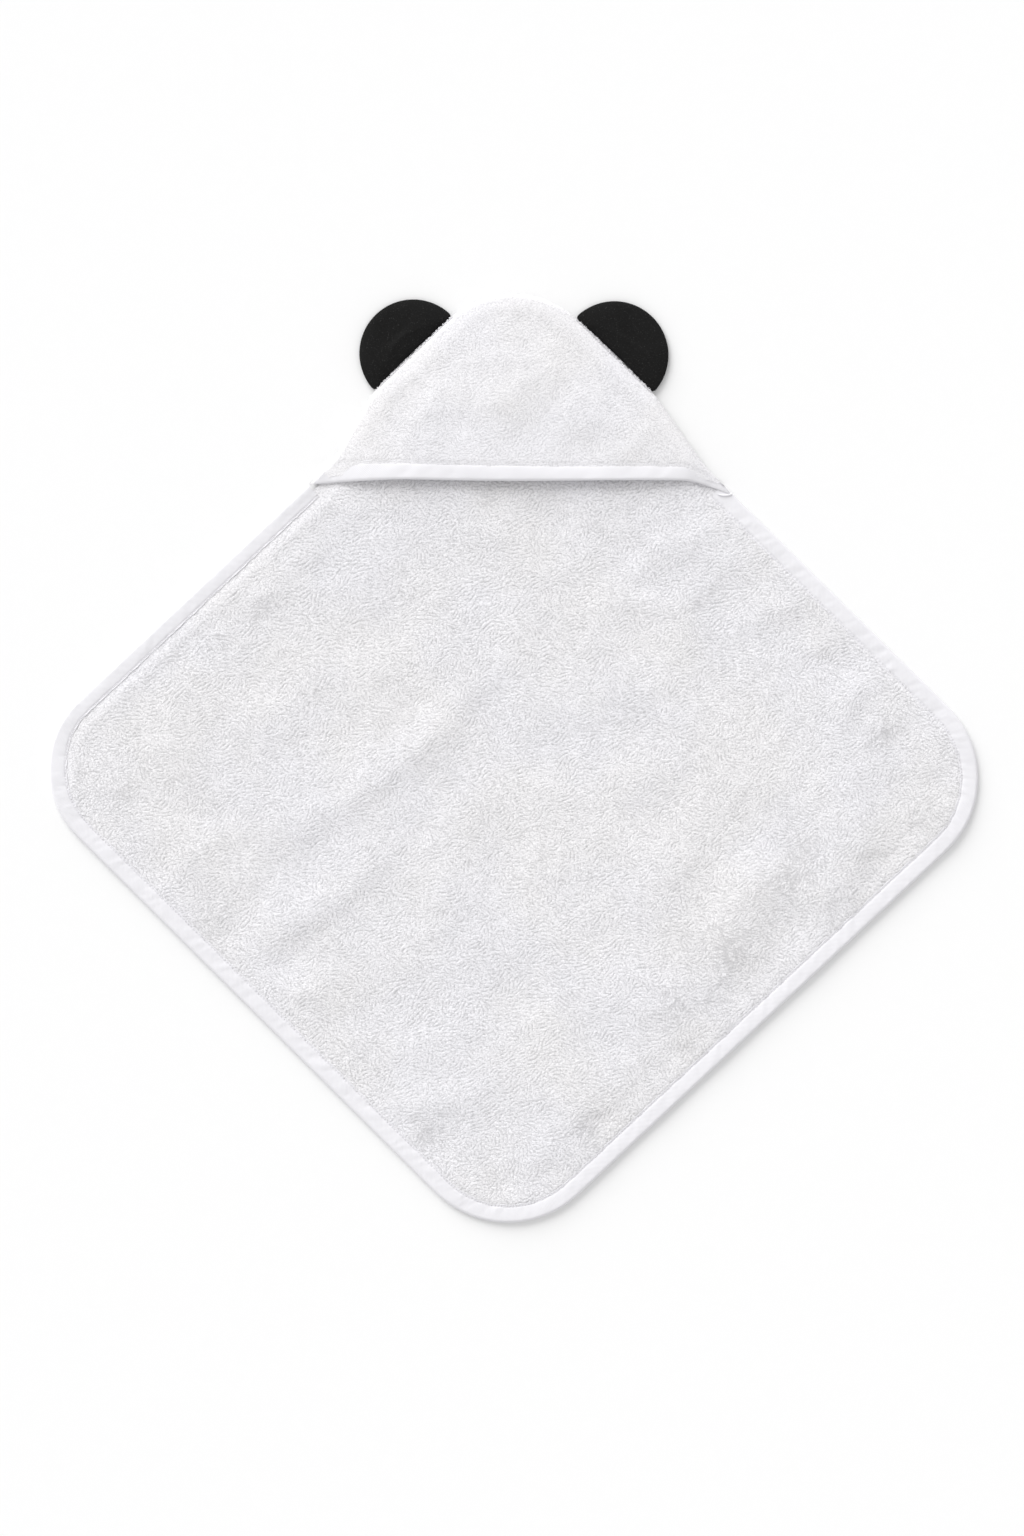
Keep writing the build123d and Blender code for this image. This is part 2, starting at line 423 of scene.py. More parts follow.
def crease(start, end, height, lit_width, far_width):
    """A low ridge along a line, gentle on the side that faces the light."""
    start, end = np.array(start, float), np.array(end, float)
    length = np.hypot(*(end - start))
    ahead = (end - start) / length
    side = np.array([-ahead[1], ahead[0]])
    if side @ LIGHT_FROM < 0:
        side = -side
    x, y = GRID_X - start[0], GRID_Y - start[1]
    along = (x * ahead[0] + y * ahead[1]) / length
    off = x * side[0] + y * side[1] + 5 * np.sin(along * 5.0 + start[0])
    width = np.where(off > 0, lit_width, far_width)
    ends = smooth(-0.25, 0.35, along) * (1 - smooth(0.65, 1.25, along))
    return height * np.exp(-((off / width) ** 2)) * ends


def towel_lift():
    """How far the towel stands off the floor, before the thickness of its terry."""
    lift = 1.1 + 0.6 * swell(11, 80, 300) + 0.11 * swell(12, 28, 70)
    for line in CREASES:
        lift += crease(*line)
    return np.clip(lift, 0, None) * (0.25 + 0.75 * smooth(4, 60, INSET))


def shade_patched(loops):
    """The pile with its patches of painted shade."""
    ragged = 1 + 0.45 * swell(33, 9, 40)
    patch_shade = np.zeros_like(loops)
    for x, y, radius, share in SHADE_PATCHES:
        off = ((GRID_X - x) ** 2 + (GRID_Y - y) ** 2) / radius ** 2
        patch_shade += share * np.exp(-off)
    return loops * (1 - np.clip(patch_shade * ragged, 0, 0.8))


def calmed(loops, where):
    """The pile, pressed smooth along an edge: its loops evened out, with less painted shade between them.
    """
    return loops + (0.8 - loops) * 0.7 * where


LIFT = towel_lift()
HOOD_LIFT = 0.45 * swell(21, 60, 200) + 0.1 * swell(22, 24, 60)
HOOD_LIFT += 0.55 * sum(crease(*line) for line in HOOD_CREASES)
# 1 along the upper left side, where the pile stands up to the binding less steeply.
UPPER_LEFT = smooth(380, 430, GRID_Y - GRID_X)
LOOPS = calmed(shade_patched(loop_pile(31, LOOP_SPACING, 30)), smooth(30, 18, INSET) * UPPER_LEFT)
HOOD_LOOPS = calmed(loop_pile(41, HOOD_LOOP_SPACING, 22), smooth(20, 7, INSET))


def in_hood(y):
    """Whether a place is under the hood."""
    return y > HOOD_START


def quarter_round(share):
    """How far up a rounded edge the cloth is, where share goes from 0 at its foot to 1 at its top."""
    return np.sqrt(np.clip(1 - (1 - np.clip(share, 0, 1)) ** 2, 0, 1))


def towel_top(x, y, inset):
    """Top of the towel's terry: full inside, squeezed flat where the binding holds it."""
    upper_left = sample(UPPER_LEFT, x, y)
    beside = 15.8 - 2.5 * upper_left
    bound = smooth(beside, beside + 4.2 + 12 * upper_left, inset)
    free = np.where(in_hood(y), smooth(0, 6, inset), bound)
    edge = np.where(in_hood(y), SEWN_TOP, BOUND_TOP)
    full = TERRY + PILE * (sample(LOOPS, x, y) - 0.55) + 0.75 * smooth(40, 21, inset)
    full = np.where(in_hood(y), edge + (full - edge) * quarter_round(inset / 4), full)
    return sample(LIFT, x, y) * cover_fade(y) + edge * (1 - free) + full * free


def cover_fade(y):
    """How much of the towel's lift is left: it lies flat under the hood."""
    return 0.15 + 0.85 * (1 - smooth(262, 285, y))


def towel_under(x, y, inset):
    """Underside of the towel, which rises a little where the binding or the hood's seam holds it."""
    squeezed = np.where(in_hood(y), 1.3 * smooth(4, 0, inset), 0.9 * smooth(24, 17, inset))
    return np.clip(sample(LIFT, x, y) * cover_fade(y) - 0.3, 0, None) + squeezed


def towel_under_pile(x, y, inset):
    """The underside of a flap that can be turned up, with its own loops."""
    return towel_under(x, y, inset) + 0.6 * sample(LOOPS, -y, x) * smooth(16, 24, inset)


def hood_ends(x, y):
    """0 where the hood comes down to the towel's side at either end of its lip, 1 away from there."""
    left = np.hypot(x - LIP_LOW[0, 0], y - LIP_LOW[0, 1])
    right = np.hypot(x - LIP_LOW[-1, 0], y - LIP_LOW[-1, 1])
    return smooth(-6, 58, np.minimum(left, right))


def hood_surface(x, y, inset):
    """Top of the hood's cloth without its loops: rolled over at the seam, and level further in."""
    beside_seam = 2.2 * (1 - np.exp(-np.clip(inset, 0, None) / 17))
    level = HOOD_LEVEL + beside_seam + 3.4 * smooth(2, 85, inset)
    level = level + 0.5 * np.exp(-(((inset - 14) / 8) ** 2))
    creases = sample(HOOD_LIFT, x, y) * smooth(3, 30, inset)
    level = LIP_END + (level - LIP_END) * hood_ends(x, y) + creases
    return HOOD_SEAM + (level - HOOD_SEAM) * quarter_round(inset / 5)


def above_lip(x, y):
    """0 inside the binding of the hood's lower edge, 1 above it."""
    return smooth(-1.5, 3, y - hood_hem(x))


def hood_top(x, y, inset):
    """Top of the hood's terry, squeezed a little where the lip's binding holds it."""
    free = above_lip(x, y)
    pile = HOOD_PILE * (sample(HOOD_LOOPS, x, y) - 0.5) * free - 0.5 * (1 - free)
    return hood_surface(x, y, inset) + pile


def hood_under(x, y, inset):
    """Underside of the hood's terry, which is thinner at the seam and in the lip's binding."""
    thick = (1.2 + 2.3 * smooth(0, 8, inset)) * (0.8 + 0.2 * above_lip(x, y))
    return hood_top(x, y, inset) - thick


# ---- cloth pieces


def vertex_numbers(used):
    """A number for each lattice point that is used, and -1 elsewhere."""
    numbers = np.full(used.shape, -1)
    numbers[used] = np.arange(used.sum())
    return numbers


def quads(numbers, cells, corners):
    """One four-sided polygon to a cell, with its corners in the given order."""
    i, j = np.nonzero(cells)
    return np.stack([numbers[i + di, j + dj] for di, dj in corners], axis=1)


FACING_UP = ((0, 0), (1, 0), (1, 1), (0, 1))
FACING_DOWN = ((0, 0), (0, 1), (1, 1), (1, 0))


def corners_used(cells):
    """Which lattice points the cells touch."""
    used = np.zeros((cells.shape[0] + 1, cells.shape[1] + 1), bool)
    for a in (0, 1):
        for b in (0, 1):
            used[a:a + cells.shape[0], b:b + cells.shape[1]] |= cells
    return used


def walls(cells, block, top, under):
    """Polygons that close the cut side of a slab, one to each outer side of a block."""
    found = []
    padded = np.pad(cells, 1)
    steps = np.arange(block + 1)
    for di, dj in ((1, 0), (-1, 0), (0, 1), (0, -1)):
        bare = cells & ~padded[1 + di:1 + di + cells.shape[0], 1 + dj:1 + dj + cells.shape[1]]
        i, j = np.nonzero(bare)
        if di:
            i = i + (di > 0)
            upper = [top[i * block, j * block + k] for k in steps]
            lower = [under[i, j], under[i, j + 1]]
        else:
            j = j + (dj > 0)
            upper = [top[i * block + k, j * block] for k in steps]
            lower = [under[i, j], under[i + 1, j]]
        ring = lower + upper[::-1]
        if di < 0 or dj > 0:
            ring = ring[::-1]
        found.append(np.stack(ring, axis=1))
    return np.concatenate(found)


def cloth(name, where, top, under, block, material, loops, snap=False):
    """A closed piece of cloth cut from the lattice, wherever `where` holds at a block's middle."""
    count = CELLS // block
    middle = (np.arange(count) + 0.5) * STEP * block - REACH
    x, y = np.meshgrid(middle, middle, indexing="ij")
    cells = where(x, y, sample(INSET, x, y))
    fine = cells.repeat(block, 0).repeat(block, 1)
    top_used, under_used = corners_used(fine), corners_used(cells)
    top_number = vertex_numbers(top_used)
    under_number = vertex_numbers(under_used) + top_used.sum()
    sides = walls(cells, block, top_number, under_number)
    faces = [quads(top_number, fine, FACING_UP), quads(under_number, cells, FACING_DOWN), sides]
    over = np.argwhere(top_used) * STEP - REACH
    below = np.argwhere(under_used) * STEP * block - REACH
    flat = np.vstack([over, below])
    rim = np.zeros(len(flat), bool)
    rim[np.unique(sides)] = True
    if snap:
        flat = snap_to_edge(flat, rim)
    inset = sample(INSET, *flat.T)
    if snap:
        inset[rim & (inset < 1.5)] = 0
    upper, lower = np.split(np.column_stack([flat, inset]), [len(over)])
    z = np.concatenate([top(*upper.T), under(*lower.T)])
    points = np.column_stack([flat, np.clip(z, 0, None)])
    piece = build_mesh(name, points, faces, material)
    set_attribute(piece, "place", points)
    # The loop pattern, which the terry materials turn into painted shade between the loops.
    set_attribute(piece, "loops", sample(loops, *flat.T))
    mark_sharp(piece, rim & (inset > 2))
    piece["area"] = float(cells.sum() * (STEP * block * MM) ** 2)
    return piece


def snap_to_edge(flat, rim):
    """Rim points near the hood's outline move on to it, so that its edge is a smooth line."""
    flat = flat.copy()
    beside = (sample(INSET, *flat.T) < 3.5) & (flat[:, 1] > SIDE_BINDING_END + 5)
    near = np.nonzero(rim & beside)[0]
    which, _ = nearest_edge(flat[near])
    flat[near] = EDGE[which]
    return flat


# ---- strips swept along a line


def tubes(index):
    """Sides and end caps of tubes, from the numbers of their points: (..., ring, point in ring)."""
    turned = np.roll(index, -1, axis=-1)
    low, high = np.s_[..., :-1, :], np.s_[..., 1:, :]
    sides = np.stack([index[low], index[high], turned[high], turned[low]], axis=-1).reshape(-1, 4)
    caps = np.concatenate([index[..., 0, :], index[..., -1, ::-1]], axis=None)
    return [sides, caps.reshape(-1, index.shape[-1])]


def flipped(faces):
    """The same polygons, facing the other way."""
    return [polygons[:, ::-1] for polygons in faces]


def sweep(name, rings, material, runs):
    """A strip whose rings (n, m, 3) are joined in order, with both ends closed."""
    index = np.arange(rings[..., 0].size).reshape(rings.shape[:2])
    piece = build_mesh(name, rings.reshape(-1, 3), tubes(index), material)
    set_attribute(piece, "place", runs.reshape(-1, 3))
    ends = np.zeros(index.shape, bool)
    ends[[0, -1]] = True
    mark_sharp(piece, ends.ravel())
    return piece


# The binding's top from its roll to its inner edge: inset, and rise above a level leaf.
BINDING_TOP = [
    (5.4, 0.02), (8.2, -0.03), (10.6, -0.12), (12.4, -0.26), (13.8, -0.38), (14.9, -0.45),
    (15.6, -0.45), (16.2, -0.42), (16.8, -0.38), (17.4, -0.3), (17.8, -0.45), (BINDING_WIDTH, -0.85),
]


def binding_section(half):
    """Inset and height of the binding's outline about the middle of the cloth it holds.
    Its top is a soft roll that dips to the stitch line and rises again at the edge."""
    out = half + BINDING_LEAF
    nose = np.linspace(-math.pi / 2, 0, 5)
    roll = np.linspace(0.2, math.pi / 2, 9)
    outline = [(out * (1 - math.cos(a)), out * math.sin(a)) for a in nose]
    outline += [(3.2 * (1 - math.cos(a)), out * math.sin(a)) for a in roll]
    outline += [(inset, out + rise) for inset, rise in BINDING_TOP]
    outline += [(17.4, half - 0.1), (11, half - 0.2), (4, half - 0.3), (2.2, 0.5 * half), (1.6, 0)]
    outline += [(2.2, -0.6 * half), (4, -half), (11, -half), (17.2, -half)]
    outline += [(BINDING_WIDTH, -half - 0.4 * BINDING_LEAF), (17.4, -out), (12, -out), (6.5, -out)]
    return np.array(outline)


def narrowing(which):
    """How wide the binding is, as a share: less on the upper left, where more of it went under."""
    outward = -EDGE_INWARD[which]
    upper_left = (outward[:, 1] - outward[:, 0]) / math.sqrt(2)
    return 1 - UPPER_LEFT_NARROWING * smooth(0.75, 0.97, upper_left)


def strip_noise(seed, length, across, along_size, across_size, lean):
    """Noise on a strip, with waves that lean across it."""
    rng = np.random.default_rng(seed)
    rows = 64
    noise = rng.standard_normal((length, rows))
    a = np.fft.fftfreq(length, STEP)[:, None]
    b = np.fft.fftfreq(rows, 1.0)[None, :]
    keep = np.exp(-(((a + lean * b) * along_size) ** 2) - (b * across_size) ** 2)
    field = np.fft.ifft2(np.fft.fft2(noise) * keep).real
    field /= field.std()
    return field[:, np.clip(across.astype(int) + 8, 0, rows - 1)]


def puckered(section, run, seed, strength):
    """Height and width changes of a binding along its run: puckers and the pull of each stitch."""
    inset, height = section[:, 0], section[:, 1]
    top = smooth(0.2, 1.2, height)
    pull = np.exp(-(((inset - STITCH_INSET) / 0.9) ** 2))
    beat = 0.5 + 0.5 * np.cos(2 * math.pi * run / STITCH_PITCH)[:, None]
    ripple = strip_noise(seed, len(run), inset, 14, 12, 0.8)
    fine = strip_noise(seed + 1, len(run), inset, 5, 6, 0.6)
    body = smooth(1, 6, inset)
    puckers = body * strength * (0.09 * ripple + 0.04 * fine)
    height_change = top * (puckers - pull * (0.3 + 0.75 * beat))
    edge = smooth(16.4, 17.8, inset)
    wander = strip_noise(seed + 2, len(run), inset * 0, 8, 9, 0.0)
    width_change = edge * (0.45 * beat - 0.2 + 0.25 * wander)
    return height_change, width_change


EDGE_PUCKERS = puckered(binding_section(EDGE_HALF), EDGE_RUN, 51, 1.5)


def strip_place(run, section):
    """Where each point of a binding is on its strip: along it, across it, and up from its middle."""
    parts = np.broadcast_arrays(run[:, None], section[:, 0], section[:, 1])
    return np.stack(parts, axis=-1)


def side_roll(points, section):
    """Below the left end of the hood the binding is rolled up on its outer edge."""
    along = 0.8 * smooth(225, 262, points[:, 1]) * (points[:, 0] < 0)
    across = smooth(11, 5, section[:, 0]) * smooth(-2.75, 0, section[:, 1])
    return along[:, None] * across


def edge_binding(name, first, last):
    """The binding from one point of the outline to another, with the towel's edge inside it."""
    which = np.arange(first, last + 1) % len(EDGE)
    section = binding_section(EDGE_HALF)
    up, wide = EDGE_PUCKERS
    inset = (section[:, 0] + wide[which]) * narrowing(which)[:, None]
    flat = EDGE[which][:, None, :] + EDGE_INWARD[which][:, None, :] * inset[..., None]
    lift = sample(LIFT, flat[..., 0], flat[..., 1]) * cover_fade(flat[..., 1])
    height = BOUND_MIDDLE + section[:, 1] + up[which] + side_roll(EDGE[which], section)
    height += lift * smooth(-2.7, 2.7, section[:, 1])
    rings = np.dstack([flat, np.clip(height, 0, None)])
    return sweep(name, rings, TWILL, strip_place(EDGE_RUN[which], section))


# One stitch from end to end: place along it, thickness and rise, as shares of its size.
STITCH_SHAPE = [
    (-0.5, 0.25, -0.45), (-0.38, 0.8, -0.05), (-0.15, 1.0, 0.10),
    (0.15, 1.0, 0.10), (0.38, 0.8, -0.05), (0.5, 0.25, -0.45),
]


def stitches(name, middles, ahead, material, seed):
    """Short raised threads, one at each middle, lying along `ahead`."""
    rng = np.random.default_rng(seed)
    count = len(middles)
    sway = rng.normal(0, 0.06, count)
    cos, sin = np.cos(sway), np.sin(sway)
    ahead = np.stack([ahead[:, 0] * cos - ahead[:, 1] * sin, ahead[:, 0] * sin + ahead[:, 1] * cos], axis=1)
    side = left_of(ahead)
    length = STITCH_LENGTH * (1 + rng.normal(0, 0.06, count))
    points = np.zeros((count, len(STITCH_SHAPE), STITCH_SIDES, 3))
    for k, (along, thick, high) in enumerate(STITCH_SHAPE):
        for t in range(STITCH_SIDES):
            turn = t * 2 * math.pi / STITCH_SIDES
            across = STITCH_WIDTH / 2 * thick * math.cos(turn)
            z = STITCH_WIDTH * (0.42 * thick * math.sin(turn) + high)
            points[:, k, t, :2] = middles[:, :2] + ahead * (along * length)[:, None] + side * across
            points[:, k, t, 2] = middles[:, 2] + z
    index = np.arange(points[..., 0].size).reshape(points.shape[:3])
    points = points.reshape(-1, 3)
    piece = build_mesh(name, points, flipped(tubes(index)), material)
    set_attribute(piece, "place", points)
    return piece


def edge_stitches(name, first, last, seed):
    """The row of stitches near the binding's inner edge."""
    beats = np.arange(math.ceil(first * STEP / STITCH_PITCH), int(last * STEP / STITCH_PITCH) + 1)
    beats = beats * STITCH_PITCH + STITCH_PITCH / 2
    beats = beats[(beats > first * STEP + 1) & (beats < last * STEP - 1)]
    which = (beats / STEP).round().astype(int) % len(EDGE)
    flat = EDGE[which] + EDGE_INWARD[which] * (STITCH_INSET * narrowing(which))[:, None]
    z = 4.8 + sample(LIFT, *flat.T) * cover_fade(flat[:, 1])
    return stitches(name, np.column_stack([flat, z]), EDGE_AHEAD[which], WHITE_THREAD, seed)


# ---- materials


class Nodes:
    """Small helper that adds and links shader nodes."""

    def __init__(self, owner):
        owner.use_nodes = True
        self.owner = owner
        self.tree = owner.node_tree

    def add(self, kind, inputs=(), **settings):
        node = self.tree.nodes.new(kind)
        for key, value in settings.items():
            setattr(node, key, value)
        for key, value in dict(inputs).items():
            self.feed(node.inputs[key], value)
        return node

    def feed(self, socket, value):
        if isinstance(value, bpy.types.NodeSocket):
            self.tree.links.new(value, socket)
        else:
            socket.default_value = value

    def place(self):
        """The piece's own resting coordinates in mm."""
        return self.add("ShaderNodeAttribute", attribute_name="place").outputs["Vector"]

    def noise(self, vector, scale, detail=2.0, roughness=0.5):
        inputs = {"Vector": vector, "Scale": scale, "Detail": detail, "Roughness": roughness}
        return self.add("ShaderNodeTexNoise", inputs).outputs["Fac"]

    def ribs(self, vector, scale, distortion, detail, detail_scale):
        """Slanting bands."""
        inputs = {"Vector": vector, "Scale": scale, "Distortion": distortion}
        inputs.update({"Detail": detail, "Detail Scale": detail_scale})
        return self.add("ShaderNodeTexWave", inputs, bands_direction="DIAGONAL").outputs["Fac"]

    def ramp(self, value, low, high, to_low, to_high):
        inputs = {"Value": value, "From Min": low, "From Max": high, "To Min": to_low, "To Max": to_high}
        return self.add("ShaderNodeMapRange", inputs).outputs["Result"]

    def math(self, operation, a, b):
        return self.add("ShaderNodeMath", {0: a, 1: b}, operation=operation).outputs[0]

    def vector(self, operation, a, b):
        return self.add("ShaderNodeVectorMath", {0: a, 1: b}, operation=operation).outputs[0]

    def mix(self, share, first, second):
        found = self.add("ShaderNodeMix", data_type="RGBA")
        self.feed(found.inputs["Factor"], share)
        self.feed(found.inputs["A"], first)
        self.feed(found.inputs["B"], second)
        return [o for o in found.outputs if o.type == "RGBA"][0]

    def bump(self, height, distance):
        inputs = {"Height": height, "Distance": distance * MM, "Strength": 1.0}
        return self.add("ShaderNodeBump", inputs).outputs["Normal"]

    def finish(self, colour, normal, roughness, specular, sheen=0.0, sheen_roughness=0.5):
        inputs = {"Base Color": colour, "Normal": normal, "Roughness": roughness}
        inputs.update({"Specular IOR Level": specular, "Sheen Weight": sheen})
        inputs["Sheen Roughness"] = sheen_roughness
        for key, value in inputs.items():
            self.feed(self.tree.nodes["Principled BSDF"].inputs[key], value)
        return self.owner


def grey(level, tint=(1, 1, 1)):
    """A shader colour of one level, times a tint."""
    return (level * tint[0], level * tint[1], level * tint[2], 1)


# Tints of white cotton.
COOL = (1.0, 0.99, 1.025)
WARM = (1.006, 0.992, 1.008)


def terry_material(name, light, dark, loop, depth):
    """Looped cotton: rows of bright loops with painted shade in the gaps and hollows between them, and a
    slight cloudiness of tone.
    """
    n = Nodes(bpy.data.materials.new(name))
    where = n.place()
    # The loop pattern, which sets where painted shade falls between the loops.
    rows = n.add("ShaderNodeAttribute", attribute_name="loops").outputs["Fac"]
    wander = n.add("ShaderNodeTexNoise", {"Vector": where, "Scale": 0.45, "Detail": 2.0}).outputs["Color"]
    bent = n.vector("ADD", where, n.vector("MULTIPLY", wander, (2.4, 2.4, 2.4)))
    curls = n.vector("MULTIPLY", bent, (0.7 / loop, 1.1 / loop, 0.9 / loop))
    curls = n.math("SUBTRACT", n.noise(curls, 1.0, 0.0), 0.5)
    curls = n.ramp(n.math("ABSOLUTE", curls, 0.0), 0.0, 0.07, 0.0, 1.0)
    knots = n.add("ShaderNodeTexVoronoi", {"Vector": bent, "Scale": 1.0 / loop}).outputs["Distance"]
    fibres = n.noise(where, 2.2, 3.0, 0.7)
    cloud = n.noise(where, 0.007, 3.0, 0.5)
    height = n.math("ADD", n.ramp(knots, 0.1, 0.75, 0.7, 0.0), n.ramp(fibres, 0.3, 0.7, 0.0, 0.3))
    # shade is 1 on the loop tops and falls towards 0 where painted shade darkens the gaps between rows, the
    # hollows round the knots and the curls' lines.
    shade = n.math("MULTIPLY", n.ramp(rows, 0.0, 0.75, 0.25, 1.0), n.ramp(height, 0.05, 0.6, 0.4, 1.0))
    shade = n.math("MULTIPLY", shade, n.ramp(curls, 0.0, 1.0, 0.35, 1.0))
    shade = n.ramp(shade, 0.03, 0.72, 0.0, 1.0)
    tone = n.ramp(cloud, 0.4, 0.6, 0.0, 1.0)
    bright = n.mix(tone, grey(light, COOL), grey(light, WARM))
    # gap is the colour of the painted shade between the loops, at the level dark.
    gap = n.mix(tone, grey(dark, COOL), grey(dark, WARM))
    normal = n.bump(n.math("ADD", height, n.math("MULTIPLY", curls, 0.5)), depth)
    return n.finish(n.mix(shade, gap, bright), normal, n.ramp(fibres, 0.3, 0.7, 0.85, 1.0), 0.2, 0.2, 0.6)


def binding_material(name, light):
    """Fine cotton twill: close diagonal ribs, with yarn variation and painted shade where the ribs and yarn
    sit low.
    """
    n = Nodes(bpy.data.materials.new(name))
    where = n.place()
    ribs = n.ribs(where, 0.36, 0.6, 1.0, 0.6)
    yarn = n.noise(where, 1.6, 3.0, 0.6)
    slub = n.noise(where, 0.12, 2.0, 0.5)
    height = n.math("ADD", n.math("MULTIPLY", ribs, 0.7), n.math("MULTIPLY", yarn, 0.6))
    # Darker where the bump's height is low: partly yarn tone, partly painted shade in the grooves between
    # the ribs.
    colour = n.mix(n.ramp(height, 0.3, 1.0, 0.0, 1.0), grey(light * 0.93, COOL), grey(light, COOL))
    colour = n.mix(n.ramp(slub, 0.35, 0.7, 0.0, 0.3), colour, grey(light * 0.95, COOL))
    return n.finish(colour, n.bump(height, 0.14), n.ramp(yarn, 0.3, 0.7, 0.65, 0.85), 0.3, 0.15)


def thread_material(name, level):
    """Twisted polyester thread, with a fine slanting twist."""
    n = Nodes(bpy.data.materials.new(name))
    where = n.place()
    twist = n.ribs(where, 0.7, 1.0, 2.0, 1.0)
    lint = n.noise(where, 3.0, 2.0, 0.6)
    colour = n.mix(n.math("MULTIPLY", twist, lint), grey(level, COOL), grey(level * 0.9, COOL))
    return n.finish(colour, n.bump(twist, 0.08), n.ramp(lint, 0.3, 0.7, 0.45, 0.65), 0.4, 0.2, 0.4)


def velour_material(name):
    """Short black velour: dark, with a faint grain of fibre ends, painted shade in the nap's hollows
    between them, and lint.
    """
    n = Nodes(bpy.data.materials.new(name))
    where = n.place()
    nap = n.noise(where, 0.9, 4.0, 0.75)
    lie = n.noise(where, 0.05, 2.0, 0.5)
    lint = n.ramp(n.noise(where, 0.9, 1.0, 0.4), 0.66, 0.74, 0.0, 0.6)
    # deep is the painted shade in the nap's hollows and raised the lighter fibre ends; the nap field also
    # makes the bump.
    deep, raised = grey(0.003, (1.0, 0.98, 0.98)), grey(0.014, (1.0, 0.98, 0.97))
    colour = n.mix(n.ramp(nap, 0.3, 0.7, 0.0, 1.0), deep, raised)
    colour = n.mix(n.ramp(lie, 0.35, 0.65, 0.0, 0.3), colour, grey(0.012))
    colour = n.mix(lint, colour, grey(0.045))
    return n.finish(colour, n.bump(nap, 0.35), n.ramp(nap, 0.3, 0.7, 0.85, 1.0), 0.12, 0.07, 0.45)


def floor_material():
    """Smooth pale paper."""
    n = Nodes(bpy.data.materials.new("floor_paper"))
    where = n.add("ShaderNodeTexCoord").outputs["Object"]
    tooth = n.noise(where, 60.0, 2.0, 0.5)
    colour = n.mix(tooth, grey(0.87), grey(0.878))
    return n.finish(colour, n.bump(tooth, 0.02), 0.9, 0.1)


TERRY_CLOTH = terry_material("terry_white", 0.895, 0.53, 1.7, 0.4)
HOOD_CLOTH = terry_material("hood_terry_white", 0.865, 0.59, 1.5, 0.3)
TWILL = binding_material("binding_twill", 0.815)
WHITE_THREAD = thread_material("thread_white", 0.82)
VELOUR = velour_material("velour_black")


# ---- places, and the bodies that pieces ride on


def at(x, y):
    """A place on the floor, in metres."""
    return (x * MM, y * MM, 0.0)


def turn_with(piece, body):
    """A piece of the middle rides on the towel; a flap's piece has its place baked into its mesh."""
    if body == "towel":
        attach(piece, "towel")
    else:
        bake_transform(piece)


# ---- the towel


# The towel's fields: name, body, and which half of the body's field it is (0 for all of it).
FIELDS = [
    ("towel_west", "towel", -1),
    ("towel_east", "towel", 1),
    ("left_wrap_cloth", "left_wrap", 0),
    ("right_wrap_cloth", "right_wrap", 0),
    ("foot_fold_cloth", "foot_fold", 0),
]


def bodies_at(x, y):
    """Which body the towel turns with at each place."""
    body = np.full(np.shape(x), "towel", dtype=object)
    body[x < LEFT_FOLD] = "left_wrap"
    body[x > RIGHT_FOLD] = "right_wrap"
    body[y < FOOT_FOLD] = "foot_fold"
    body[y > HOOD_FOLD] = "hood_back"
    return body


def edge_runs():
    """Runs of the outline by the body that they turn with: (body, first, last)."""
    body = bodies_at(*EDGE.T)
    body[EDGE[:, 1] > SIDE_BINDING_END] = "seam"
    cuts = [0] + [k for k in range(1, len(EDGE)) if body[k] != body[k - 1]] + [len(EDGE) - 1]
    return [(body[first], first, last) for first, last in zip(cuts[:-1], cuts[1:])]


def node_stem(body):
    """The first word or words of the names of a body's nodes."""
    return "centre" if body == "towel" else body


def make_field(name, body, half):
    """The cloth of one field, fine on both sides where it can be turned up."""
    def where(x, y, inset):
        return (inset > BOUND_INSET) & (bodies_at(x, y) == body) & (x * half >= 0)

    under, block = (towel_under, COARSE) if body == "towel" else (towel_under_pile, 1)
    piece = cloth(name, where, towel_top, under, block, TERRY_CLOTH, LOOPS)
    turn_with(piece, body)
    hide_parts(f"{node_stem(body)}_terry")
    return piece


def make_towel():
    """The bound edge and the fields. Returns the trims of the hood's back, which come with it."""
    trims = {}
    for number, (body, first, last) in enumerate(edge_runs()):
        if body == "seam":
            continue
        binding = edge_binding(f"binding_{number}_{body}", first, last)
        thread = edge_stitches(f"stitches_{number}_{body}", first, last, 60 + number)
        for piece in (binding, thread):
            turn_with(piece, body)
        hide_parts(f"{node_stem(body)}_edge_binding")
        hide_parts(f"{node_stem(body)}_binding_stitch")
        trims.setdefault(body, []).extend([binding, thread])
    for name, body, half in FIELDS:
        make_field(name, body, half)
        trims.pop(body, [])
    return trims["hood_back"]


# ---- the hood


def lip_height(flat):
    """The middle of the hood's cloth along its lower edge."""
    x, y = flat[..., 0], flat[..., 1]
    return np.maximum(hood_surface(x, y, sample(INSET, x, y)) - 2.2, 6.0)


def lip_binding(name, part):
    """The binding of the hood's lower edge, which thins out towards its two ends."""
    section = binding_section(LIP_HALF)
    run = np.arange(LIP_POINTS) * STEP
    rise, wide = puckered(section, run, 71, 0.8)
    across = LIP_HIGH - LIP_LOW
    width = np.hypot(*across.T)[:, None]
    share = (section[:, 0] + wide) / BINDING_WIDTH
    flat = LIP_LOW[:, None, :] + across[:, None, :] * share[..., None]
    thick = (0.5 + 0.5 * smooth(2, 15, width)) * (0.45 + 0.55 * hood_ends(*LIP_LOW.T)[:, None])
    height = lip_height(flat) + (section[:, 1] + rise) * thick
    return sweep(name, np.dstack([flat, height])[part], TWILL, strip_place(run, section)[part])


